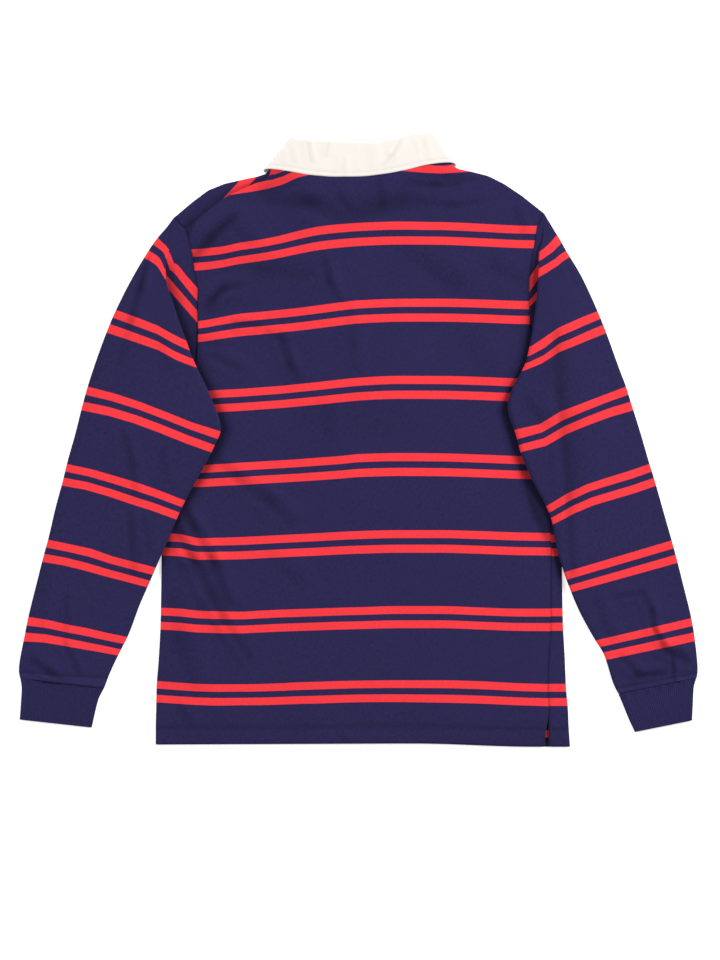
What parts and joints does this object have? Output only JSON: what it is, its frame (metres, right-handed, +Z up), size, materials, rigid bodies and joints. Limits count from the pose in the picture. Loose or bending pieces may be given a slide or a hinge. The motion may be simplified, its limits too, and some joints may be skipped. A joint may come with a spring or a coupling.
{
  "type": "rugby shirt",
  "caption": "Long-sleeved striped rugby shirt laid flat on its front, back side up, with a folded twill collar, knitted cuffs and a short hidden button placket.",
  "frame": {"origin": "middle of the bottom of the bounding box, on the surface the shirt lies on", "axes": "+Z up out of the surface and through the back of the shirt, +Y towards the collar, +X towards the sleeve at the right of the picture"},
  "size_m": [0.8485, 0.7681, 0.0127],
  "materials": {
    "jersey": "matt knitted cotton jersey, dark blue with pairs of red stripes",
    "rib": "matt rib knit, dark blue",
    "twill": "matt cotton twill, off-white",
    "rubber": "matt rubber, off-white"
  },
  "bodies": {
    "root": {"front": "jersey", "back": "jersey", "sleeve_left": "jersey", "sleeve_right": "jersey", "cuff_left": "rib", "cuff_right": "rib", "collar": "twill", "placket_outer": "twill", "placket_under": "twill", "button_1": "rubber", "button_2": "rubber", "button_3": "rubber"}
  },
  "joints": []
}
